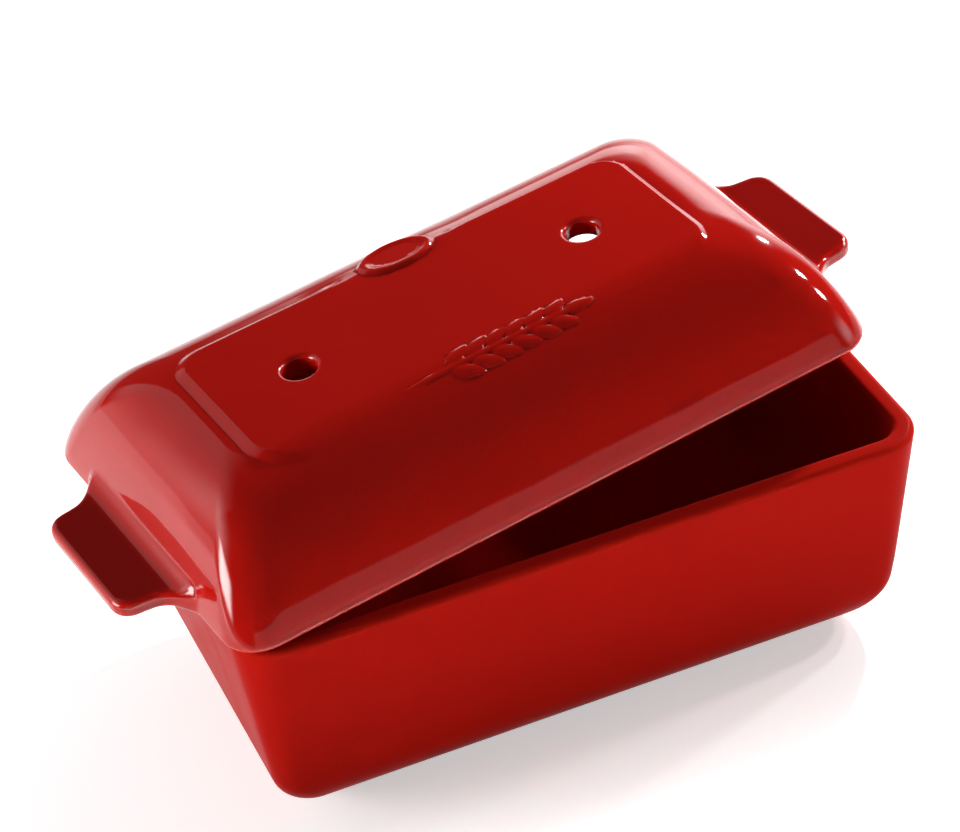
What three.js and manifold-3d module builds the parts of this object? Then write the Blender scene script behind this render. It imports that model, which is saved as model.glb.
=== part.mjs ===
// A two-piece ceramic loaf baker: a deep tapered pan and a domed lid with two handles and two steam vents.
// Millimetres, +Z up, +X along the length. The origin is the middle of the pan's flat underside.
import * as THREE from "three";
import { mergeVertices, toCreasedNormals } from "three/addons/utils/BufferGeometryUtils.js";
import Module from "manifold-3d";

const wasm = await Module();
wasm.setup();

// Pan
const rimLength = 236.6;
const rimWidth = 137.6;
const rimCorner = 15.5;
const panHeight = 83.6;
const wallDraft = 10; // how far each wall leans in between rim and foot
const wall = 7;
const floorThickness = 8;
const footFillet = 22; // round between the outer walls and the underside
const floorFillet = 18; // round between the inner walls and the floor
const footCorner = 9;
const rimRound = 2.2; // round on both edges of each rim

// Lid
const lidOverhang = 0.8; // how far the lid's rim stands out past the pan's rim
const lidCorner = 14;
const lidHeight = 39.4;
const endRun = 32; // horizontal run of the end slopes
const sideRun = 43; // horizontal run of the long slopes
const slopeRise = 1.56; // power of the sine in the slope's height
const slopeRun = 1.02; // power of the cosine in the slope's run
const panelInset = 5.5; // flat band between the end slopes and the raised panel
const panelLap = 4.5; // how far the panel's long edges lie out on the slopes
const panelStep = 1.6;
const panelStepRun = 2.4;
const panelCorner = 10;
const stepFadeFront = [54, 80]; // where the panel's front step starts to show, and where it is full
const stepFadeBack = [14, 36]; // the same at the back

// Vents
const ventSpacing = 106.4;
const ventBore = 11.4;
const ventLip = 1.9; // round on both ends of the bore

// Handles
const handleReach = 20.8; // from the lid's end to the handle's tip
const handleTipWidth = 56;
const handleRootWidth = 71;
const handleCorner = 8;
const handleThickness = 6;
const handleLift = 0.3; // underside of the handles above the rim plane
const handleEdge = 2.2; // round on the handles' edges
const handleBite = 3.6; // how deep the handles root in the lid's wall
const rootRound = 5; // hollow round between the handles' tops and the lid's ends

// Plain oval boss on the back shoulder
const bossLength = 27;
const bossWidth = 16;
const bossRaise = 0.8;
const bossLean = 8; // degrees, along the shoulder

// How the lid lies: turned about one slanted axis from its seat on the pan's rim
const seatGap = 0.3;
const askew = 8.93; // degrees
const swingOutset = 1.7; // the axis crosses the rim's plane this far outside the pan's left end
const swingInset = 1.9; // and this far inside its front
const swingAxis = [-0.0494, -0.532, 0.85];

const cornerSteps = 8;
const longSteps = 16;
const shortSteps = 4;
const slopeSteps = 14;
const filletSteps = 8;
const rootSteps = 16;
const roundSteps = 3;

// Rounded rectangle, counter-clockwise seen from above, with the same number of points at any size.
function outline(halfLength, halfWidth, cornerRadius) {
  const radius = Math.min(cornerRadius, halfLength - 1, halfWidth - 1);
  const at = (corner, turn) => {
    const sx = corner % 4 === 0 || corner % 4 === 3 ? 1 : -1;
    const sy = corner % 4 < 2 ? 1 : -1;
    const angle = (turn * Math.PI) / 2;
    return new THREE.Vector2(
      sx * (halfLength - radius) + radius * Math.cos(angle),
      sy * (halfWidth - radius) + radius * Math.sin(angle),
    );
  };
  const points = [];
  for (let corner = 0; corner < 4; corner++) {
    for (let j = 0; j <= cornerSteps; j++) points.push(at(corner, corner + j / cornerSteps));
    const steps = corner % 2 === 0 ? longSteps : shortSteps;
    const from = at(corner, corner + 1);
    const to = at(corner + 1, corner + 1);
    for (let j = 1; j < steps; j++) points.push(from.clone().lerp(to, j / steps));
  }
  return points;
}

// One level ring of a loft.
function ring(halfLength, halfWidth, cornerRadius, z) {
  return outline(halfLength, halfWidth, cornerRadius).map((p) => new THREE.Vector3(p.x, p.y, z));
}

// Closed skin over rings of equal point counts. The first ring's cap faces up and the last one's down.
function loft(rings) {
  const count = rings[0].length;
  const middle = (points) =>
    points.reduce((sum, p) => sum.add(p), new THREE.Vector3()).divideScalar(points.length);
  const points = rings.flat();
  const first = points.push(middle(rings[0])) - 1;
  const last = points.push(middle(rings.at(-1))) - 1;
  const index = [];
  for (let i = 0; i < count; i++) {
    const next = (i + 1) % count;
    index.push(first, i, next);
    for (let r = 0; r + 1 < rings.length; r++) {
      const a = r * count;
      const b = a + count;
      index.push(a + i, b + i, b + next, a + i, b + next, a + next);
    }
    const end = (rings.length - 1) * count;
    index.push(last, end + next, end + i);
  }
  const geometry = new THREE.BufferGeometry().setFromPoints(points);
  geometry.setIndex(index);
  return geometry;
}

// A closed three.js geometry as a solid that can be joined and cut.
function solid(geometry) {
  const bare = geometry.clone();
  for (const name of ["normal", "uv"]) bare.deleteAttribute(name);
  const merged = mergeVertices(bare, 1e-4);
  const old = merged.index.array;
  const triVerts = [];
  for (let i = 0; i < old.length; i += 3) {
    const [a, b, c] = [old[i], old[i + 1], old[i + 2]];
    if (a !== b && b !== c && c !== a) triVerts.push(a, b, c);
  }
  return new wasm.Manifold(
    new wasm.Mesh({
      numProp: 3,
      vertProperties: new Float32Array(merged.attributes.position.array),
      triVerts: new Uint32Array(triVerts),
    }),
  );
}

// A solid as a geometry with smooth curved faces and crisp edges.
function skin(body) {
  const mesh = body.getMesh();
  const geometry = new THREE.BufferGeometry();
  geometry.setAttribute("position", new THREE.BufferAttribute(mesh.vertProperties, 3));
  geometry.setIndex(new THREE.BufferAttribute(mesh.triVerts, 1));
  return toCreasedNormals(geometry, THREE.MathUtils.degToRad(35));
}

// Quarter round of a rim: pairs of inset and height, from the wall to the rim's flat.
function quarter(radius) {
  const pairs = [];
  for (let i = 0; i <= roundSteps; i++) {
    const angle = (i / roundSteps) * (Math.PI / 2);
    pairs.push([radius * (1 - Math.cos(angle)), radius * Math.sin(angle)]);
  }
  return pairs;
}

// Pan: floor, inner wall, rim, outer wall and underside in one loft.
function makePan() {
  const lean = (z) => wallDraft * (1 - z / panHeight);
  const level = (inset, z, leastCorner) =>
    ring(rimLength / 2 - inset, rimWidth / 2 - inset, Math.max(rimCorner - inset, leastCorner), z);
  const round = (radius, z) => (z >= radius ? 0 : radius - Math.sqrt(radius ** 2 - (radius - z) ** 2));
  const rings = [];
  for (let i = 0; i <= filletSteps; i++) {
    const z = floorFillet * (1 - Math.cos((i / filletSteps) * (Math.PI / 2)));
    const inset = lean(z + floorThickness) + wall + round(floorFillet, z);
    rings.push(level(inset, z + floorThickness, footCorner));
  }
  const shoulder = panHeight - rimRound;
  for (const [inset, rise] of quarter(rimRound)) {
    rings.push(level(lean(shoulder) + wall - inset, shoulder + rise, footCorner));
  }
  for (const [inset, rise] of quarter(rimRound).reverse()) {
    rings.push(level(lean(shoulder) + inset, shoulder + rise, footCorner));
  }
  for (let i = filletSteps; i >= 0; i--) {
    const z = footFillet * (1 - Math.cos((i / filletSteps) * (Math.PI / 2)));
    rings.push(level(lean(z) + round(footFillet, z), z, footCorner));
  }
  return solid(loft(rings));
}

const lidLength = rimLength + 2 * lidOverhang;
const lidWidth = rimWidth + 2 * lidOverhang;

// How much of the panel's step shows at a point: all of it at the ends, none half way along the sides.
function stepShare(p) {
  const [none, full] = p.y < 0 ? stepFadeFront : stepFadeBack;
  return THREE.MathUtils.smoothstep(Math.abs(p.x), none, full);
}

// Rings of the lid's hipped slope, from the rim up, for a skin that lies inside the outer one by a depth.
function slopeRings(depth, from) {
  const rise = lidHeight - depth;
  const rings = [];
  for (let i = 0; i <= slopeSteps; i++) {
    const angle = THREE.MathUtils.lerp(from, Math.PI / 2, i / slopeSteps);
    const run = 1 - Math.cos(angle) ** slopeRun;
    const z = rise * Math.sin(angle) ** slopeRise;
    const halfLength = lidLength / 2 - depth - endRun * run;
    const halfWidth = lidWidth / 2 - depth - sideRun * run;
    rings.push(ring(halfLength, halfWidth, lidCorner - depth * 0.5, z));
  }
  return rings;
}

// Lid shell: raised panel, hipped slopes, rim and hollow underside in one loft.
function makeShell() {
  const panelLength = lidLength - 2 * (endRun + panelInset);
  const panelWidth = lidWidth - 2 * (sideRun - panelLap);
  const footHalfLength = panelLength / 2 + panelStepRun;
  const footHalfWidth = panelWidth / 2 + panelStepRun;
  const start = Math.asin((rimRound / lidHeight) ** (1 / slopeRise));
  const slope = slopeRings(0, start).filter((points) => {
    const halfWidth = Math.max(...points.map((p) => p.y));
    return halfWidth > footHalfWidth + 0.5;
  });
  const shoulderZ = lidHeight - panelStep * 0.4;
  slope.forEach((points, i) => {
    const near = THREE.MathUtils.smoothstep(i / (slope.length - 1), 0.55, 1);
    for (const p of points) p.z -= near * panelStep * (0.55 * stepShare(p) - 0.2);
  });
  const rings = [];
  for (const [along, up] of [[0, 1], [0.22, 0.94], [0.62, 0.3], [1, 0]]) {
    const points = ring(
      panelLength / 2 + along * panelStepRun,
      panelWidth / 2 + along * panelStepRun,
      panelCorner + along * panelStepRun,
      lidHeight,
    );
    for (const p of points) {
      const foot = shoulderZ - panelStep * (0.6 * stepShare(p) - 0.25);
      p.z = THREE.MathUtils.lerp(foot, lidHeight + panelStep * 0.1, up);
    }
    rings.push(points);
  }
  rings.push(...slope.reverse());
  const level = (inset, z) =>
    ring(lidLength / 2 - inset, lidWidth / 2 - inset, lidCorner - inset * 0.5, z);
  for (const [inset, rise] of quarter(rimRound).slice(1)) rings.push(level(inset, rimRound - rise));
  for (const [inset, rise] of quarter(rimRound).reverse()) rings.push(level(wall - inset, rimRound - rise));
  const inner = Math.asin((rimRound / (lidHeight - wall)) ** (1 / slopeRise)) + 0.12;
  rings.push(...slopeRings(wall, inner));
  return solid(loft(rings));
}

// How far out the lid's end slope stands at a height.
function endSlope(z) {
  const angle = Math.asin((z / lidHeight) ** (1 / slopeRise));
  return lidLength / 2 - endRun * (1 - Math.cos(angle) ** slopeRun);
}

// Hollow round between a handle's top and the lid's end, lofted along Y. It runs out in the necks.
function makeRootRound() {
  const top = handleLift + handleThickness;
  const full = handleTipWidth / 2 - handleCorner;
  const none = (handleTipWidth + handleRootWidth) / 4;
  const sunk = 1; // how deep its hidden sides lie in the handle and the lid
  const rings = [];
  for (let i = 0; i <= rootSteps; i++) {
    const y = THREE.MathUtils.lerp(none, -none, i / rootSteps);
    const radius = Math.max(rootRound * (1 - THREE.MathUtils.smoothstep(Math.abs(y), full, none)), 0.3);
    const corner = new THREE.Vector2(endSlope(top), top);
    const high = new THREE.Vector2(endSlope(top + radius) - 0.15, top + radius);
    const low = new THREE.Vector2(corner.x + radius, top - 0.05);
    const section = new THREE.QuadraticBezierCurve(high, corner, low).getPoints(6);
    section.push(
      new THREE.Vector2(low.x, top - sunk),
      new THREE.Vector2(high.x - sunk, top - sunk),
      new THREE.Vector2(high.x - sunk, high.y),
    );
    rings.push(section.map((p) => new THREE.Vector3(p.x, y, p.y)));
  }
  return solid(loft(rings));
}

// Flat handle with concave necks and rounded edges, reaching out along +X.
function makeHandle() {
  const end = lidLength / 2;
  const root = end - handleBite + handleEdge;
  const tip = end + handleReach - handleEdge;
  const tipHalf = handleTipWidth / 2 - handleEdge;
  const rootHalf = handleRootWidth / 2 - handleEdge;
  const corner = handleCorner - handleEdge;
  const neck = end + handleReach * 0.42;
  const shape = new THREE.Shape();
  shape.moveTo(root, -rootHalf);
  shape.bezierCurveTo(end + 1.5, -rootHalf + 0.5, end + 3.5, -tipHalf - 2, neck, -tipHalf - 0.6);
  shape.lineTo(tip - corner, -tipHalf);
  shape.quadraticCurveTo(tip, -tipHalf, tip, -tipHalf + corner);
  shape.lineTo(tip, tipHalf - corner);
  shape.quadraticCurveTo(tip, tipHalf, tip - corner, tipHalf);
  shape.lineTo(neck, tipHalf + 0.6);
  shape.bezierCurveTo(end + 3.5, tipHalf + 2, end + 1.5, rootHalf - 0.5, root, rootHalf);
  shape.closePath();
  const plate = new THREE.ExtrudeGeometry(shape, {
    depth: handleThickness - 2 * handleEdge,
    curveSegments: 8,
    bevelEnabled: true,
    bevelSize: handleEdge,
    bevelThickness: handleEdge,
    bevelSegments: 3,
  });
  plate.translate(0, 0, handleLift + handleEdge);
  return solid(plate).add(makeRootRound());
}

// Cutter for one vent: a bore that flares at both ends.
function makeVent(x) {
  const bore = ventBore / 2;
  const ceiling = lidHeight - wall;
  const top = lidHeight + panelStep * 0.1;
  const profile = [new THREE.Vector2(0, ceiling - 4), new THREE.Vector2(bore + ventLip, ceiling - 4)];
  for (let i = 0; i <= 5; i++) {
    const angle = (i / 5) * (Math.PI / 2);
    profile.push(
      new THREE.Vector2(bore + ventLip * (1 - Math.sin(angle)), ceiling + ventLip * (1 - Math.cos(angle))),
    );
  }
  for (let i = 5; i >= 0; i--) {
    const angle = (i / 5) * (Math.PI / 2);
    profile.push(
      new THREE.Vector2(bore + ventLip * (1 - Math.sin(angle)), top - ventLip * (1 - Math.cos(angle))),
    );
  }
  profile.push(new THREE.Vector2(bore + ventLip, top + 4), new THREE.Vector2(0, top + 4));
  const cutter = new THREE.LatheGeometry(profile, 32);
  cutter.rotateX(Math.PI / 2);
  cutter.translate(x, 0, 0);
  return solid(cutter);
}

// Plain oval boss, set in the shoulder behind the panel.
function makeBoss() {
  const shape = new THREE.Shape();
  shape.absellipse(0, 0, bossLength / 2 - 0.6, bossWidth / 2 - 0.6, 0, 2 * Math.PI);
  const oval = new THREE.ExtrudeGeometry(shape, {
    depth: wall / 2,
    curveSegments: 24,
    bevelEnabled: true,
    bevelSize: 0.6,
    bevelThickness: 0.6,
    bevelSegments: 2,
  });
  oval.translate(0, 0, -wall / 2 - 0.6);
  oval.rotateX(-THREE.MathUtils.degToRad(bossLean));
  oval.translate(0, lidWidth / 2 - sideRun + panelLap, lidHeight + bossRaise);
  return solid(oval);
}

function makeLid() {
  const handle = makeHandle();
  let lid = makeShell().add(handle).add(handle.rotate([0, 0, 180])).add(makeBoss());
  for (const side of [-1, 1]) lid = lid.subtract(makeVent((side * ventSpacing) / 2));
  return lid;
}

const glaze = new THREE.MeshStandardMaterial({ color: 0xa01512, roughness: 0.16, metalness: 0 });

const pan = new THREE.Mesh(skin(makePan()), glaze);
pan.name = "base";

const lid = new THREE.Mesh(skin(makeLid()), glaze.clone());
lid.name = "lid";

// The lid swings as one about the slanted axis. Its seat is square on the pan's rim.
const swing = new THREE.Group();
swing.position.set(-rimLength / 2 - swingOutset, -rimWidth / 2 + swingInset, panHeight);
swing.quaternion.setFromAxisAngle(
  new THREE.Vector3(...swingAxis).normalize(),
  THREE.MathUtils.degToRad(askew),
);
lid.position.set(-swing.position.x, -swing.position.y, seatGap);
swing.add(lid);

const baker = new THREE.Group();
baker.name = "loaf_baker";
baker.add(pan, swing);

export default baker;
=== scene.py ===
"""Covered loaf baker: a deep glazed pan and its hipped lid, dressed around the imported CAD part."""
import math

import bmesh
import bpy
import numpy as np
from mathutils import Matrix, Vector


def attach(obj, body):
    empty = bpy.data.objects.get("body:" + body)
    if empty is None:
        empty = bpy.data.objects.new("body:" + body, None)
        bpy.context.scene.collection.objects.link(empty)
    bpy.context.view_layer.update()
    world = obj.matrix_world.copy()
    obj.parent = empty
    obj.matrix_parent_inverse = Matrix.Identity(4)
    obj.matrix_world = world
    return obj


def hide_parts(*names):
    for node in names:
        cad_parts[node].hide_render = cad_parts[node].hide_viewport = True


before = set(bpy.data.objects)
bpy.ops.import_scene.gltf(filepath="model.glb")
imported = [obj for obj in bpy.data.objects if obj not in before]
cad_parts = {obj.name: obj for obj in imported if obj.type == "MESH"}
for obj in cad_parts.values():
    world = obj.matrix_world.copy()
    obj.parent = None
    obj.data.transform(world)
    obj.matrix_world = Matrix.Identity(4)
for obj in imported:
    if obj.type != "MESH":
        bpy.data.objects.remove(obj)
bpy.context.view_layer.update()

MM = 0.001

# Pan, in millimetres
RIM_L, RIM_W, RIM_CORNER, PAN_H = 236.6, 137.6, 15.5, 83.6
DRAFT, WALL, FLOOR = 10.0, 7.0, 8.0
FOOT_FILLET, FLOOR_FILLET, FOOT_CORNER = 22.0, 18.0, 9.0
RIM_ROUND = 2.2

# Lid, in millimetres, and shares of its slopes from 0 at the rim to 1 at the top
LID_L, LID_W, LID_CORNER, LID_H = 238.2, 139.2, 14.0, 39.4
LIP_ROUND = 1.6  # of the lower edge outside, crisper than inside
END_RUN, SIDE_RUN = 32.0, 43.0  # of the slopes in plan
SLOPE_RISE, SLOPE_RUN = 1.56, 1.02  # powers of the slopes' curve
BULGE, BULGE_LEAD = 1.2, 0.9  # of the end slopes over the handles, and how it fades towards the hips
BULGE_RISE, BULGE_FALL = (0.03, 0.2), (0.25, 0.7)
VENT_X, VENT_R, VENT_LIP = 53.2, 5.7, 1.9

# Raised panel on the lid, with a step that fades out along the middle of the long sides
PANEL_L, PANEL_FRONT, PANEL_BACK = 82.5, 36.0, 29.8  # half length, reach to the front and to the back
CORNER_FRONT, CORNER_BACK = 14.0, 9.0
STEP, STEP_RUN, STEP_RUN_RIGHT = 1.6, 3.8, 2.0
STEP_TURN = (-50.0, 50.0)  # along X, from the left end's run to the right end's
STEP_STRAIGHT = 0.6  # share of the step that is a straight ramp, while the rest rounds over
FADE_LEFT, FADE_RIGHT, FADE_BACK = (64.0, 86.0), (74.0, 92.0), (14.0, 36.0)  # along X
FADE_TURN = (-24.0, -2.0)  # along Y, from the front's fade to the back's
SINK, SINK_SPAN = 0.75, (0.35, 0.9)  # of the slopes beside the step: share of it, and where
PANEL_CROWN, PANEL_PROUD, PANEL_ROUND = 0.1, 0.15, 0.8  # share of the step over the top, and millimetres

# Handles
HANDLE_REACH, HANDLE_TIP, HANDLE_ROOT = 20.8, 56.0, 71.0
HANDLE_CORNER, HANDLE_T, HANDLE_LIFT, HANDLE_EDGE, HANDLE_BITE = 8.0, 6.0, 0.3, 2.2, 3.6
NECK_AT, NECK_FLARE = 0.42, 0.6  # share of the reach where the root's curve ends, and the width left there
ROOT_PULL, NECK_PULL = (1.5, -0.5), (3.5, 2.0)  # control points of that curve
ROOT_FILLET = 5.0
HANDLE_NEAR, HANDLE_CEILING, FAR = 14.0, 26.0, 40.0  # where the handles matter, and the distance elsewhere

# Oval boss on the back shoulder, with a recessed field
BOSS_Y, BOSS_L, BOSS_W = 31.1, 13.5, 8.0  # place and half axes
BOSS_RAISE, BOSS_LEAN = 0.8, math.radians(8)
BOSS_EDGE, FIELD_EDGE, FIELD_DEPTH = (0.9, 1.08), (0.62, 0.84), 0.6

# Wheat ear in low relief on the front shoulder: pairs of grains on a stem, and one at the tip
EAR_START, EAR_STEP, EAR_Y, EAR_PAIRS = -14.0, 7.2, -33.0, 6
EAR_MIDDLE, EAR_REACH, EAR_WIDTH = -2.0, 48.0, 18.0  # the plan in which it is worked out
GRAIN_AHEAD, GRAIN_OUT, GRAIN_L, GRAIN_W = 2.0, 3.7, 6.3, 2.9  # place and half axes
GRAIN_LEAN, GRAIN_TAPER, GRAIN_SHRINK = 27.0, 0.32, 0.12  # degrees, and per pair towards the tip
TIP_AHEAD, TIP_L, TIP_W = 2.2, 6.2, 2.7
STEM_W, STEM_HEIGHT, STEM_BEND = 1.6, 0.75, 0.0022
STEM_RISE, STEM_FALL = (-44.0, -22.0), (26.0, 30.0)  # along X
RELIEF, RELIEF_BLEND, RELIEF_EDGE = 0.85, 5, 0.003

# Lid's mesh: box and pitch of the grid, settling, and the turn in degrees over which an edge is split
GRID_LOW, GRID_HIGH, GRID_PITCH = (-142.0, -72.0, -2.0), (142.0, 72.0, 43.0), 1.25
FIRST_ROUNDS, LATER_ROUNDS = 4, 2
MOST_SHIFT, LEAST_SLOPE, PROBE = 0.8, 0.05, 0.03
TURN_LIMIT, SHORTEST = 12, (0.8, 0.5)
SIDE_TOP, UP_FROM, GRADE_SPAN, SHARE_PROBE = 0.8, 0.3, (0.05, 0.999), 1e-3  # shares, see hull

# Pan's mesh
CORNER_STEPS, LONG_STEPS, SHORT_STEPS = 14, 40, 22
FILLET_STEPS, WALL_STEPS, RIM_STEPS = 18, 8, 8
RIM_GUARD = 0.5  # ring under the rim that keeps its round crisp
FLAT_RINGS = (0.6, 2.0, 8.0, 24.0)  # on the floor and the underside, inwards from the fillet
CORNERS = ((1, 1), (-1, 1), (-1, -1), (1, -1))

# How the lid lies on the pan
SEAT_GAP = 0.3
ASKEW = math.radians(8.93)
SWING_POINT = Vector((-120.0, -66.9, PAN_H))
SWING_AXIS = Vector((-0.0494, -0.532, 0.85)).normalized()


def smoothstep(v, a, b):
    k = np.clip((v - a) / (b - a), 0.0, 1.0)
    return k * k * (3 - 2 * k)


def round_max(a, b, r):
    """Both of two fields, with a round of radius r on the edge between them."""
    return np.minimum(-r, np.maximum(a, b)) + np.hypot(np.maximum(r + a, 0), np.maximum(r + b, 0))


def round_min(a, b, r):
    """Either of two fields, with a fillet of radius r in the corner between them."""
    return np.maximum(r, np.minimum(a, b)) - np.hypot(np.maximum(r - a, 0), np.maximum(r - b, 0))


def box_distance(x, y, half_l, half_w, r):
    """Distance to a rectangle with rounded corners in plan, negative inside."""
    qx, qy = np.abs(x) - half_l + r, np.abs(y) - half_w + r
    return np.hypot(np.maximum(qx, 0), np.maximum(qy, 0)) + np.minimum(np.maximum(qx, qy), 0) - r


# Shape of the lid

def slope_inset(x, y, depth):
    """Share of the slope's run at plan points, 0 at the rim and 1 at the top's edge, and the run there."""
    half_l, half_w, r = LID_L / 2 - depth, LID_W / 2 - depth, LID_CORNER - depth / 2
    ax, ay = np.abs(x), np.abs(y)
    t_end, t_side = (half_l - ax) / END_RUN, (half_w - ay) / SIDE_RUN
    t = np.minimum(t_end, t_side)
    run = np.where(t_end < t_side, END_RUN, SIDE_RUN)
    p, q = ax - half_l + r, ay - half_w + r
    a = END_RUN ** 2 + SIDE_RUN ** 2
    b = p * END_RUN + q * SIDE_RUN
    disc = b * b - a * (p * p + q * q - r * r)
    tc = (-b + np.sqrt(np.maximum(disc, 0))) / a
    nx, ny = (p + END_RUN * tc) / r, (q + SIDE_RUN * tc) / r
    corner = (disc > 0) & (nx > 0) & (ny > 0)
    return np.where(corner, tc, t), np.where(corner, nx * END_RUN + ny * SIDE_RUN, run)


def profile(t):
    """Height share of the slope over its run share."""
    return (1 - (1 - np.clip(t, 0, 1)) ** (2 / SLOPE_RUN)) ** (SLOPE_RISE / 2)


def profile_inverse(h):
    return 1 - (1 - np.clip(h, 0, 1) ** (2 / SLOPE_RISE)) ** (SLOPE_RUN / 2)


def wheat_grains():
    """Middle x and y, half length, half width and angle in degrees of each grain."""
    grains = []
    for k in range(EAR_PAIRS):
        x = EAR_START + EAR_STEP * k + GRAIN_AHEAD
        shrink = GRAIN_SHRINK * k
        for side in (-1, 1):
            y = EAR_Y + side * (GRAIN_OUT - shrink)
            grains.append((x, y, GRAIN_L - shrink, GRAIN_W, side * GRAIN_LEAN))
    grains.append((EAR_START + EAR_STEP * EAR_PAIRS + TIP_AHEAD, EAR_Y, TIP_L, TIP_W, 0.0))
    return grains


GRAINS = wheat_grains()


def ear_relief(x, y):
    """Height of the wheat ear over the front shoulder."""
    h = np.zeros_like(x)
    near = (np.abs(x - EAR_MIDDLE) < EAR_REACH) & (np.abs(y - EAR_Y) < EAR_WIDTH)
    px, py = x[near], y[near]
    total = np.zeros_like(px)
    for gx, gy, length, width, angle in GRAINS:
        c, s = math.cos(math.radians(angle)), math.sin(math.radians(angle))
        a, b = c * (px - gx) + s * (py - gy), -s * (px - gx) + c * (py - gy)
        w = width * (1 - GRAIN_TAPER * a / length)
        q = (a / length) ** 2 + (b / w) ** 2
        total += np.clip(1 - q, 0, 1) ** RELIEF_BLEND
    stem_y = EAR_Y - STEM_BEND * (px - EAR_START) ** 2 * (px < EAR_START)
    stem = np.clip(1 - ((py - stem_y) / STEM_W) ** 2, 0, 1)
    stem = stem * smoothstep(px, *STEM_RISE) * (1 - smoothstep(px, *STEM_FALL))
    total += (STEM_HEIGHT * stem) ** RELIEF_BLEND
    h[near] = RELIEF * total ** (1 / RELIEF_BLEND) * smoothstep(total, 0.0, RELIEF_EDGE)
    return h


def end_bulge(x, y, t):
    """Height by which the end slopes stand over the one curve of all slopes."""
    lead = (LID_W / 2 - np.abs(y)) / SIDE_RUN - (LID_L / 2 - np.abs(x)) / END_RUN
    along = smoothstep(t, *BULGE_RISE) - smoothstep(t, *BULGE_FALL)
    return BULGE * smoothstep(lead, 0.0, BULGE_LEAD) * along


def outer_top(x, y, t):
    """Height of the lid's outside over the plan: slopes, raised panel, oval boss and wheat ear."""
    front = np.where(x < 0, smoothstep(-x, *FADE_LEFT), smoothstep(x, *FADE_RIGHT))
    share = front + (smoothstep(np.abs(x), *FADE_BACK) - front) * smoothstep(y, *FADE_TURN)
    slope = LID_H * profile(t) + end_bulge(x, y, t) - SINK * STEP * share * smoothstep(t, *SINK_SPAN)
    middle, half = (PANEL_BACK - PANEL_FRONT) / 2, (PANEL_BACK + PANEL_FRONT) / 2
    corner = np.where(y < middle, CORNER_FRONT, CORNER_BACK)
    edge = box_distance(x, y - middle, PANEL_L, half, corner)
    panel = -round_max(-LID_H - PANEL_CROWN * STEP, -slope - STEP * share - PANEL_PROUD, PANEL_ROUND)
    run = STEP_RUN + (STEP_RUN_RIGHT - STEP_RUN) * smoothstep(x, *STEP_TURN)
    ramp = np.clip(edge / run, 0, 1)
    z = slope + (panel - slope) * (1 - STEP_STRAIGHT * ramp - (1 - STEP_STRAIGHT) * smoothstep(ramp, 0, 1))
    oval = np.hypot(x / BOSS_L, (y - BOSS_Y) / BOSS_W)
    boss = LID_H + BOSS_RAISE - math.tan(BOSS_LEAN) * (y - BOSS_Y)
    boss = boss - FIELD_DEPTH * (1 - smoothstep(oval, *FIELD_EDGE))
    z = z + (boss - z) * (1 - smoothstep(oval, *BOSS_EDGE))
    return z + ear_relief(x, y)


def inner_top(x, y, t):
    """Height of the lid's inside over the plan: the slopes alone."""
    return (LID_H - WALL) * profile(t)


def hull(x, y, z, depth, top):
    """Distance to the hipped form, negative inside: across the slopes low down, and by height further up."""
    t, run = slope_inset(x, y, depth)
    rise = LID_H - depth
    lift = end_bulge(x, y, t) if depth == 0 else 0.0
    h = np.clip((z - lift) / rise, 0.0, SIDE_TOP)
    e = SHARE_PROBE
    low = np.maximum(h - e, 0)
    lean = (profile_inverse(h + e) - profile_inverse(low)) / ((h + e - low) * rise)
    side = (profile_inverse(h) - t) * run / np.sqrt(1 + (lean * run) ** 2)
    tt = np.clip(t, *GRADE_SPAN)
    grade = rise * (profile(tt + e) - profile(tt - e)) / (2 * e) / run
    up = (z - top(x, y, t)) / np.sqrt(1 + grade ** 2)
    return np.where(t > UP_FROM, up, side)


def bezier(p0, p1, p2, p3, steps):
    k = np.linspace(0, 1, steps + 1)[:, None]
    p0, p1, p2, p3 = map(np.array, (p0, p1, p2, p3))
    return (1 - k) ** 3 * p0 + 3 * (1 - k) ** 2 * k * p1 + 3 * (1 - k) * k ** 2 * p2 + k ** 3 * p3


def handle_outline(side_steps=14, corner_steps=10):
    """Half of the handle's plan, y from 0 up, drawn inside the real outline by the edge's round."""
    end = LID_L / 2
    root, tip = end - HANDLE_BITE + HANDLE_EDGE, end + HANDLE_REACH - HANDLE_EDGE
    tip_half, root_half = HANDLE_TIP / 2 - HANDLE_EDGE, HANDLE_ROOT / 2 - HANDLE_EDGE
    leave = (end + ROOT_PULL[0], root_half + ROOT_PULL[1])
    arrive = (end + NECK_PULL[0], tip_half + NECK_PULL[1])
    neck = (end + HANDLE_REACH * NECK_AT, tip_half + NECK_FLARE)
    side = bezier((root, root_half), leave, arrive, neck, side_steps)
    corner = HANDLE_CORNER - HANDLE_EDGE
    a, b, c = np.array(((tip - corner, tip_half), (tip, tip_half), (tip, tip_half - corner)))
    k = np.linspace(0, 1, corner_steps + 1)[:, None]
    turn = (1 - k) ** 2 * a + 2 * (1 - k) * k * b + k ** 2 * c
    return np.vstack([[(root, 0.0)], side, turn, [(tip, 0.0)]])


OUTLINE = handle_outline()


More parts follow.
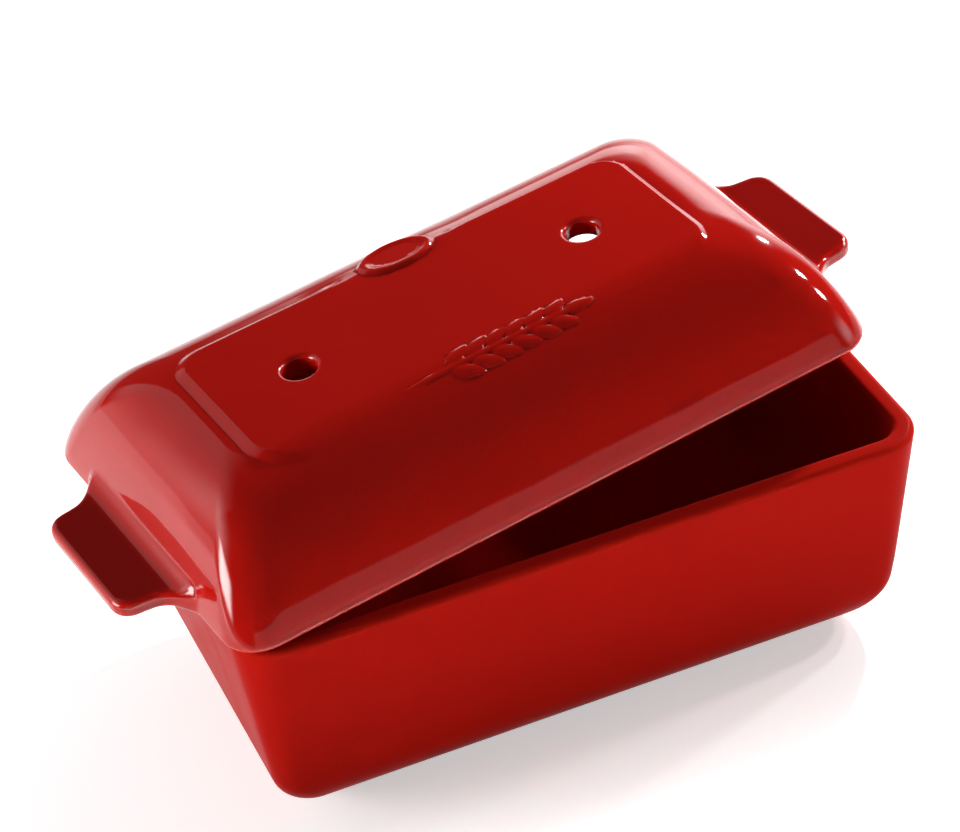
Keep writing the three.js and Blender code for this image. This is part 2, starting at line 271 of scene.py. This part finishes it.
def handle(x, y, z):
    """Distance to the two handles: flat plates with rounded edges."""
    f = np.full(x.shape, FAR)
    near = (np.abs(x) > LID_L / 2 - HANDLE_NEAR) & (z < HANDLE_CEILING)
    px, py = np.abs(x[near]), np.abs(y[near]) + 1e-6
    far = np.full(px.shape, np.inf)
    inside = np.zeros(px.shape, bool)
    for (ax, ay), (bx, by) in zip(OUTLINE[:-1], OUTLINE[1:]):
        dx, dy = bx - ax, by - ay
        k = np.clip(((px - ax) * dx + (py - ay) * dy) / (dx * dx + dy * dy), 0, 1)
        far = np.minimum(far, np.hypot(px - ax - k * dx, py - ay - k * dy))
        if ay != by:
            inside ^= ((ay > py) != (by > py)) & (px < ax + (py - ay) / (by - ay) * dx)
    flat = np.where(inside, -far, far)
    rise = np.abs(z[near] - HANDLE_LIFT - HANDLE_T / 2) - HANDLE_T / 2 + HANDLE_EDGE
    outside = np.hypot(np.maximum(flat, 0), np.maximum(rise, 0))
    f[near] = outside + np.minimum(np.maximum(flat, rise), 0) - HANDLE_EDGE
    return f


def lid_field(p):
    """Distance to the whole lid, standing on its rim, about right near its surface and negative inside."""
    x, y, z = p[:, 0], p[:, 1], p[:, 2]
    f = round_max(hull(x, y, z, 0.0, outer_top), -z, LIP_ROUND)
    f = round_min(f, handle(x, y, z), ROOT_FILLET)
    f = np.maximum(f, -z)
    f = round_max(f, -hull(x, y, z, WALL, inner_top), RIM_ROUND)
    for side in (-1, 1):
        f = round_max(f, VENT_R - np.hypot(x - side * VENT_X, y), VENT_LIP)
    return f


# Mesh of the lid

def gradient(field, p):
    g = np.empty_like(p)
    for k in range(3):
        step = np.zeros(3)
        step[k] = PROBE
        g[:, k] = (field(p + step) - field(p - step)) / (2 * PROBE)
    return g


def field_normals(field, p):
    g = gradient(field, p)
    return g / np.linalg.norm(g, axis=1)[:, None]


def settle(field, p, rounds):
    """Moves points onto the field's surface along its gradient."""
    for _ in range(rounds):
        g = gradient(field, p)
        shift = (field(p) / np.maximum((g * g).sum(1), LEAST_SLOPE))[:, None] * g
        p = p - np.clip(shift, -MOST_SHIFT, MOST_SHIFT)
    return p


def surface_nets(field, lo, hi, h):
    """Points and quads of a closed surface round the inside of a field, on a grid of pitch h."""
    axes = [np.arange(a, b + h, h) for a, b in zip(lo, hi)]
    n = [len(a) for a in axes]
    grid = np.stack(np.meshgrid(*axes, indexing="ij"), -1).reshape(-1, 3)
    v = field(grid).reshape(n)

    # One point in each cell that the surface crosses, in the middle of its crossed edges
    corners = [(i, j, k) for i in (0, 1) for j in (0, 1) for k in (0, 1)]
    part = [v[i:n[0] - 1 + i, j:n[1] - 1 + j, k:n[2] - 1 + k] for i, j, k in corners]
    count = sum((c < 0).astype(np.int8) for c in part)
    active = (count > 0) & (count < 8)
    cells = np.argwhere(active)
    index = np.full(active.shape, -1)
    index[active] = np.arange(len(cells))
    vals = np.stack([c[active] for c in part], 1)
    total, hits = np.zeros((len(cells), 3)), np.zeros(len(cells))
    for a in range(8):
        for b in range(a + 1, 8):
            ca, cb = np.array(corners[a]), np.array(corners[b])
            if np.abs(ca - cb).sum() != 1:
                continue
            cross = (vals[:, a] < 0) != (vals[:, b] < 0)
            k = vals[cross, a] / (vals[cross, a] - vals[cross, b])
            total[cross] += ca + k[:, None] * (cb - ca)
            hits[cross] += 1
    points = np.array(lo) + h * (cells + total / hits[:, None])

    # One quad across each grid edge that the surface crosses
    quads = []
    inside = v < 0
    for d in range(3):
        e1, e2 = np.eye(3, dtype=int)[(d + 1) % 3], np.eye(3, dtype=int)[(d + 2) % 3]
        first = [slice(None)] * 3
        second = [slice(None)] * 3
        first[d], second[d] = slice(0, n[d] - 1), slice(1, n[d])
        a, b = inside[tuple(first)], inside[tuple(second)]
        for sign, change in ((1, a & ~b), (-1, ~a & b)):
            at = np.argwhere(change)
            ring_of = [index[tuple((at + o).T)] for o in (-e1 - e2, -e2, 0 * e1, -e1)]
            quads.append(np.stack(ring_of[::sign], 1))
    return points, np.vstack(quads)


def positions(bm):
    return np.array([v.co for v in bm.verts])


def move(bm, p):
    for v, co in zip(bm.verts, p):
        v.co = co


def edge_ends(bm):
    bm.verts.index_update()
    return np.array([(e.verts[0].index, e.verts[1].index) for e in bm.edges])


def refine(bm, field, shortest):
    """Splits the edges over which the surface turns by more than the limit, and settles the new points."""
    p = positions(bm)
    normal = field_normals(field, p)
    first, second = edge_ends(bm).T
    turns = (normal[first] * normal[second]).sum(1) < math.cos(math.radians(TURN_LIMIT))
    wide = np.linalg.norm(p[first] - p[second], axis=1) > shortest
    bm.edges.ensure_lookup_table()
    chosen = [bm.edges[i] for i in np.nonzero(turns & wide)[0]]
    bmesh.ops.subdivide_edges(bm, edges=chosen, cuts=1, use_grid_fill=True)
    move(bm, settle(field, positions(bm), LATER_ROUNDS))


def lid_to_world(p):
    """Places of the lid's points as it lies askew on the pan, and the turn that took them there."""
    turn = np.array(Matrix.Rotation(ASKEW, 3, SWING_AXIS))
    point = np.array(SWING_POINT)
    return (p + (0, 0, PAN_H + SEAT_GAP) - point) @ turn.T + point, turn


def edge_share(p, normal, ends):
    """How sharply the surface bulges at each point, per millimetre: over 0 on edges, under 0 in hollows."""
    first, second = ends.T
    d = p[second] - p[first]
    bend = ((normal[second] - normal[first]) * d).sum(1) / np.maximum((d * d).sum(1), 1e-6)
    count = np.maximum(np.bincount(ends.ravel(), minlength=len(p)), 1)
    share = np.bincount(ends.ravel(), np.repeat(bend, 2), len(p)) / count
    for _ in range(2):
        around = np.bincount(first, share[second], len(p)) + np.bincount(second, share[first], len(p))
        share = 0.5 * share + 0.5 * around / count
    return share


def link(name, data):
    obj = bpy.data.objects.new(name, data)
    bpy.context.scene.collection.objects.link(obj)
    return obj


def to_object(name, bm, share):
    """Smooth object of a mesh, with the edge attribute that the glaze reads."""
    mesh = bpy.data.meshes.new(name)
    bm.to_mesh(mesh)
    bm.free()
    mesh.polygons.foreach_set("use_smooth", np.ones(len(mesh.polygons), bool))
    mesh.attributes.new("edge", "FLOAT", "POINT").data.foreach_set("value", share.astype(np.float32))
    return link(name, mesh)


# Painted shade on the level tops of the handles, given the glaze's darker hollow colour: depth, run from the
# lid's end, and how level
HANDLE_SHADE, HANDLE_SHADE_RUN, HANDLE_SHADE_LEVEL = 0.4, 6.0, (0.8, 0.97)


def make_lid():
    points, quads = surface_nets(lid_field, GRID_LOW, GRID_HIGH, GRID_PITCH)
    points = settle(lid_field, points, FIRST_ROUNDS)
    bm = bmesh.new()
    verts = [bm.verts.new(p) for p in points]
    for q in quads:
        bm.faces.new([verts[i] for i in q])
    for shortest in SHORTEST:
        refine(bm, lid_field, shortest)
    bmesh.ops.triangulate(bm, faces=bm.faces[:])
    p = positions(bm)
    normal = field_normals(lid_field, p)
    share = edge_share(p, normal, edge_ends(bm))
    # Painted shade: the level tops of the handles are pushed down the edge attribute, so the glaze paints
    # them in its darker hollow colour
    handle_shade_mask = smoothstep(np.abs(p[:, 0]), LID_L / 2, LID_L / 2 + HANDLE_SHADE_RUN)
    share -= HANDLE_SHADE * handle_shade_mask * smoothstep(normal[:, 2], *HANDLE_SHADE_LEVEL)
    world, turn = lid_to_world(p)
    move(bm, world * MM)
    obj = to_object("lid_glazed", bm, share)
    obj.data.normals_split_custom_set_from_vertices((normal @ turn.T).tolist())
    return obj


# Pan

def ring(inset, z):
    """One level ring of the pan's points: four rounded corners and the straights between them."""
    half_l, half_w = RIM_L / 2 - inset, RIM_W / 2 - inset
    r = min(max(RIM_CORNER - inset, FOOT_CORNER), half_l - 1, half_w - 1)

    def on_corner(corner, quarters):
        sx, sy = CORNERS[corner % 4]
        a = quarters * math.pi / 2
        return np.array((sx * (half_l - r) + r * math.cos(a), sy * (half_w - r) + r * math.sin(a)))

    points = []
    for corner in range(4):
        for j in range(CORNER_STEPS):
            points.append((*on_corner(corner, corner + j / CORNER_STEPS), z))
        start, stop = on_corner(corner, corner + 1), on_corner(corner + 1, corner + 1)
        steps = LONG_STEPS if corner % 2 == 0 else SHORT_STEPS
        for j in range(steps):
            points.append((*(start + (stop - start) * j / steps), z))
    return points


def pan_levels():
    """Inset and height of the pan's rings, from the middle of the floor over the rim to the underside."""
    def lean(z):
        return DRAFT * (1 - z / PAN_H)

    def fillet(radius, base, extra):
        rows = []
        for i in range(FILLET_STEPS + 1):
            z = radius * (1 - math.cos(i / FILLET_STEPS * math.pi / 2))
            across = math.sqrt(max(radius ** 2 - (radius - z) ** 2, 0))
            rows.append((lean(z + base) + extra + radius - across, z + base))
        return rows

    shoulder = PAN_H - RIM_ROUND
    guard = shoulder - RIM_GUARD
    turns = [i / RIM_STEPS * math.pi / 2 for i in range(RIM_STEPS + 1)]
    rim = [(RIM_ROUND * (1 - math.cos(a)), shoulder + RIM_ROUND * math.sin(a)) for a in turns]
    floor = fillet(FLOOR_FILLET, FLOOR, WALL)
    foot = fillet(FOOT_FILLET, 0.0, 0.0)[::-1]

    levels = [(floor[0][0] + d, FLOOR) for d in FLAT_RINGS[::-1]] + floor
    levels += [(lean(z) + WALL, z) for z in np.linspace(floor[-1][1], shoulder, WALL_STEPS)[1:-1]]
    levels.append((lean(guard) + WALL, guard))
    levels += [(lean(shoulder) + WALL - d, z) for d, z in rim]
    levels += [(lean(shoulder) + d, z) for d, z in rim[::-1]]
    levels.append((lean(guard), guard))
    levels += [(lean(z), z) for z in np.linspace(shoulder, foot[0][1], WALL_STEPS)[1:-1]]
    levels += foot
    levels += [(foot[-1][0] + d, 0.0) for d in FLAT_RINGS]
    return levels


def make_pan():
    bm = bmesh.new()
    rows = [[bm.verts.new(np.array(p) * MM) for p in ring(inset, z)] for inset, z in pan_levels()]
    for a, b in zip(rows, rows[1:]):
        for i in range(len(a)):
            j = (i + 1) % len(a)
            bm.faces.new((a[i], b[i], b[j], a[j]))
    bm.faces.new(rows[0])
    bm.faces.new(rows[-1][::-1])
    bmesh.ops.recalc_face_normals(bm, faces=bm.faces[:])
    bm.normal_update()
    normal = np.array([v.normal for v in bm.verts])
    share = edge_share(positions(bm) / MM, normal, edge_ends(bm))
    return to_object("pan_glazed", bm, share)


# Materials

class Nodes:
    """Short calls to make and link the nodes of one tree."""

    def __init__(self, tree):
        self.tree = tree
        tree.nodes.clear()

    def add(self, kind, inputs=None, **props):
        node = self.tree.nodes.new(kind)
        for key, value in props.items():
            setattr(node, key, value)
        for key, value in (inputs or {}).items():
            socket = node.inputs[key]
            if isinstance(value, bpy.types.NodeSocket):
                self.tree.links.new(value, socket)
            else:
                socket.default_value = value
        return node

    def noise(self, where, scale, detail=2.0, roughness=0.5):
        inputs = {"Vector": where, "Scale": scale, "Detail": detail, "Roughness": roughness}
        return self.add("ShaderNodeTexNoise", inputs).outputs[0]

    def ramp(self, value, low, high, to_low=0.0, to_high=1.0):
        inputs = {0: value, 1: low, 2: high, 3: to_low, 4: to_high}
        return self.add("ShaderNodeMapRange", inputs, interpolation_type="SMOOTHSTEP").outputs[0]

    def mix(self, factor, a, b):
        return self.add("ShaderNodeMix", {0: factor, 6: a, 7: b}, data_type="RGBA").outputs[2]

    def math(self, kind, a, b):
        return self.add("ShaderNodeMath", {0: a, 1: b}, operation=kind).outputs[0]


# Glaze: scales of its noises per metre, where they act, and how much for each part of unevenness
CLOUD_SCALE, CLOUD_SPAN, CLOUD_SWING = 14.0, (0.35, 0.68), 0.6
SPECK_SCALE, SPECK_SPAN, SPECK_SWING = 210.0, (0.62, 0.78), 2.0
GLOSS_SCALE, GLOSS_SPAN, GLOSS_SWING = 60.0, (0.3, 0.75), 4.0
RIPPLE_SCALE, RIPPLE_SHARE, SWELL_SCALE, BUMP_DEPTH = 95.0, 0.25, 26.0, 0.004
THIN_SPAN, THIN_SHARE = (0.05, 0.5), 0.6  # on edges
POOL_SPAN, POOL_SHARE = (-0.04, -0.4), 0.7  # in hollows, and on the lid's level handle tops as painted shade

# Bare clay under the pan: its grain, and the ragged line in metres where the glaze was wiped off
CLAY_SCALE, CLAY_SPAN = 420.0, (0.3, 0.7)
CLAY_DARK, CLAY_PALE = (0.38, 0.23, 0.15, 1), (0.52, 0.35, 0.24, 1)
CLAY_ROUGH, CLAY_SHINE = 0.85, 0.2
RAGGED_SCALE, RAGGED_DEPTH, WIPED_SPAN = 120.0, 0.0006, (0.0006, 0.0004)


def bare_clay(n, where, glazed):
    """Glaze above the foot, and rough clay where the pan stands."""
    grain = n.ramp(n.noise(where, CLAY_SCALE, 4.0, 0.7), *CLAY_SPAN)
    clay = n.add("ShaderNodeBsdfPrincipled", {
        "Base Color": n.mix(grain, CLAY_DARK, CLAY_PALE),
        "Roughness": CLAY_ROUGH,
        "Specular IOR Level": CLAY_SHINE,
    })
    level = n.add("ShaderNodeSeparateXYZ", {0: where}).outputs[2]
    ragged = n.math("MULTIPLY", n.noise(where, RAGGED_SCALE), RAGGED_DEPTH)
    wiped = n.ramp(n.math("ADD", level, ragged), *WIPED_SPAN)
    return n.add("ShaderNodeMixShader", {0: wiped, 1: glazed, 2: clay.outputs[0]}).outputs[0]


def glaze(name, red, thin, pooled_and_shaded, rough, shine, uneven, bare_foot):
    """Glossy red glaze: thinner and warmer on edges, darker in hollows and where the edge attribute carries
    painted shade, faintly uneven all over.
    """
    material = bpy.data.materials.new(name)
    material.use_nodes = True
    n = Nodes(material.node_tree)
    where = n.add("ShaderNodeTexCoord").outputs["Object"]
    edge = n.add("ShaderNodeAttribute", attribute_name="edge").outputs["Fac"]
    cloud = n.noise(where, CLOUD_SCALE, 3.0)
    speck = n.noise(where, SPECK_SCALE, 3.0, 0.6)
    darker = [c * (1 - CLOUD_SWING * uneven) for c in red[:3]] + [1]
    lighter = [c * (1 + CLOUD_SWING * uneven) for c in red[:3]] + [1]
    colour = n.mix(n.ramp(cloud, *CLOUD_SPAN), darker, lighter)
    colour = n.mix(n.ramp(speck, *SPECK_SPAN, 0.0, SPECK_SWING * uneven), colour, thin)
    colour = n.mix(n.ramp(edge, *THIN_SPAN, 0.0, THIN_SHARE), colour, thin)
    # Hollows take the darker colour here, and so does the painted shade on the lid's handle tops
    colour = n.mix(n.ramp(edge, *POOL_SPAN, 0.0, POOL_SHARE), colour, pooled_and_shaded)
    ripple = n.math("MULTIPLY", n.noise(where, RIPPLE_SCALE), RIPPLE_SHARE)
    height = n.math("ADD", ripple, n.noise(where, SWELL_SCALE, 1.0))
    bump = n.add("ShaderNodeBump", {"Height": height, "Strength": uneven, "Distance": BUMP_DEPTH})
    swing = GLOSS_SWING * uneven
    gloss = n.ramp(n.noise(where, GLOSS_SCALE), *GLOSS_SPAN, rough * (1 - swing), rough * (1 + swing))
    shader = n.add("ShaderNodeBsdfPrincipled", {
        "Base Color": colour,
        "Roughness": gloss,
        "Specular IOR Level": shine,
        "Normal": bump.outputs[0],
    })
    surface = shader.outputs[0]
    if bare_foot:
        surface = bare_clay(n, where, surface)
    n.add("ShaderNodeOutputMaterial", {"Surface": surface})
    return material


lid = make_lid()
lid.data.materials.append(glaze(
    "lid_glaze",
    red=(0.43, 0.0045, 0.0015, 1),
    thin=(0.66, 0.02, 0.006, 1),
    pooled_and_shaded=(0.15, 0.0015, 0.001, 1),
    rough=0.065,
    shine=0.44,
    uneven=0.05,
    bare_foot=False,
))
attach(lid, "lid")
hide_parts("lid")

pan = make_pan()
pan.data.materials.append(glaze(
    "pan_glaze",
    red=(0.375, 0.0065, 0.0035, 1),
    thin=(0.6, 0.02, 0.006, 1),
    pooled_and_shaded=(0.15, 0.0015, 0.001, 1),
    rough=0.32,
    shine=0.006,
    uneven=0.02,
    bare_foot=True,
))
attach(pan, "base")
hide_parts("base")

# The carried-over solids stay hidden behind the pieces, and share their glazes
for node, piece in (("lid", lid), ("base", pan)):
    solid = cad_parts[node]
    solid.data.materials.clear()
    solid.data.materials.append(piece.data.materials[0])


# Stage, in metres

FLOOR_HALF, FLOOR_COLOUR, FLOOR_ROUGH = 30.0, (0.93, 0.93, 0.93, 1), 0.9
FLOOR_LIFT = 0.5  # added where the floor is seen as the background, so that it is white
WORLD_LIGHT = 0.06
LAMP_AIM = Vector((0, 0, 0.1))
TABLE_SPREAD = math.radians(20)
IMAGE_W, SENSOR_W = 960, 36.0  # pixels and millimetres
CLIP_START, CLIP_END = 0.01, 100.0


def seen_rays(n):
    """1 for the rays that show the background: from the camera, from gloss and through glass."""
    path = n.add("ShaderNodeLightPath")
    gloss = n.math("MAXIMUM", path.outputs["Is Glossy Ray"], path.outputs["Is Transmission Ray"])
    return n.math("MAXIMUM", path.outputs["Is Camera Ray"], gloss)


def make_floor():
    mesh = bpy.data.meshes.new("floor")
    s = FLOOR_HALF
    mesh.from_pydata([(-s, -s, 0), (s, -s, 0), (s, s, 0), (-s, s, 0)], [], [(0, 1, 2, 3)])
    material = bpy.data.materials.new("floor")
    material.use_nodes = True
    n = Nodes(material.node_tree)
    pale = n.add("ShaderNodeBsdfPrincipled", {
        "Base Color": FLOOR_COLOUR,
        "Roughness": FLOOR_ROUGH,
        "Specular IOR Level": 0.0,
    })
    lift = n.add("ShaderNodeEmission", {"Strength": n.math("MULTIPLY", seen_rays(n), FLOOR_LIFT)})
    both = n.add("ShaderNodeAddShader", {0: pale.outputs[0], 1: lift.outputs[0]})
    n.add("ShaderNodeOutputMaterial", {"Surface": both.outputs[0]})
    mesh.materials.append(material)
    floor = link("floor", mesh)


def make_world():
    world = bpy.data.worlds.new("studio")
    bpy.context.scene.world = world
    world.use_nodes = True
    n = Nodes(world.node_tree)
    soft = n.add("ShaderNodeBackground", {"Color": (1, 1, 1, 1), "Strength": WORLD_LIGHT})
    n.add("ShaderNodeOutputWorld", {"Surface": soft.outputs[0]})


def soften(light, fade):
    """Lets a softbox's face fall off towards its edges, over shares of its width and height."""
    light.use_nodes = True
    n = Nodes(light.node_tree)
    place = n.add("ShaderNodeSeparateXYZ", {0: n.add("ShaderNodeNewGeometry").outputs["Parametric"]})
    faces = []
    for axis in (0, 1):
        off = n.math("ABSOLUTE", n.math("SUBTRACT", place.outputs[axis], 0.5), 0.0)
        faces.append(n.ramp(off, 0.5, 0.5 - fade[axis]))
    glow = n.add("ShaderNodeEmission", {"Strength": n.math("MULTIPLY", *faces)})
    n.add("ShaderNodeOutputLight", {"Surface": glow.outputs[0]})


def softbox(name, size, brightness):
    """Lamp with a face of this width and height, and the power that makes the face this bright."""
    light = bpy.data.lights.new(name, "AREA")
    light.shape = "RECTANGLE"
    light.size, light.size_y = size
    light.energy = 4 * size[0] * size[1] * brightness
    return link(name, light)


def lamp(name, azimuth, elevation, distance, size, brightness, fade):
    """Softbox that faces the lid, placed in degrees clockwise from the back and degrees up."""
    obj = softbox(name, size, brightness)
    soften(obj.data, fade)
    a, e = math.radians(azimuth), math.radians(elevation)
    out = Vector((math.sin(a) * math.cos(e), math.cos(a) * math.cos(e), math.sin(e)))
    obj.location = LAMP_AIM + distance * out
    obj.rotation_euler = (-out).to_track_quat("-Z", "Y").to_euler()


def table_lamp(name, at, size, brightness):
    """Softbox with a grid that hangs over the table and lights nothing beside it."""
    obj = softbox(name, size, brightness)
    obj.data.spread = TABLE_SPREAD
    obj.location = at


def make_camera():
    """Camera at the photograph's place, from a fit of the part's lines to it."""
    focal, azimuth, elevation, roll = 3359.24, -19.875, 37.030, 5.492  # pixels and degrees
    unit = 0.9887  # millimetres in the fit's own unit
    shift_x, shift_y, distance = -9.643 * unit, 5.625 * unit, 1111.29 * unit
    a, e, r = (math.radians(v) for v in (azimuth, elevation, roll))
    back = Vector((math.sin(a) * math.cos(e), -math.cos(a) * math.cos(e), math.sin(e)))
    right = Vector((math.cos(a), math.sin(a), 0))
    up = back.cross(right)
    place = shift_x * right + shift_y * up + distance * back + Vector((0, 0, PAN_H))
    x = math.cos(r) * right - math.sin(r) * up
    y = math.sin(r) * right + math.cos(r) * up
    data = bpy.data.cameras.new("camera")
    data.sensor_fit = "HORIZONTAL"
    data.sensor_width = SENSOR_W
    data.lens = focal / IMAGE_W * SENSOR_W
    data.clip_start, data.clip_end = CLIP_START, CLIP_END
    camera = link("camera", data)
    turn = Matrix((x, y, back)).transposed().to_4x4()
    camera.matrix_world = Matrix.Translation(place * MM) @ turn
    bpy.context.scene.camera = camera


make_floor()
make_world()
lamp("key_back", 60, 28, 0.56, (0.04, 0.04), 875, (0.3, 0.3))
lamp("key_right", 87, 27, 0.56, (0.05, 0.05), 130, (0.3, 0.3))
lamp("key_front", 96, 21, 0.56, (0.05, 0.05), 130, (0.3, 0.3))
lamp("right_back", 42, 12, 1.1, (0.95, 0.8), 2.4, (0.4, 0.4))
lamp("left_hot", -84, 11, 1.0, (0.56, 0.42), 14.5, (0.3, 0.3))
lamp("left_wide", -68, 22, 1.1, (1.0, 0.95), 2.2, (0.5, 0.5))
lamp("left_back", -48, 0, 1.1, (0.6, 0.7), 0.8, (0.4, 0.5))
lamp("left_high", -39, 30, 1.2, (0.96, 1.3), 0.42, (0.05, 0.3))
lamp("front_card", 182, 6, 1.2, (2.2, 0.42), 0.4, (0.1, 0.1))
lamp("front_right", 115, 8, 1.2, (0.8, 0.5), 2.3, (0.5, 0.5))
lamp("back_card", 18, 11, 1.5, (0.8, 0.5), 1.8, (0.3, 0.3))
table_lamp("front_table", (0.08, -0.37, 0.6), (1.1, 0.42), 2.0)
make_camera()
bpy.context.scene.view_settings.view_transform = "Standard"
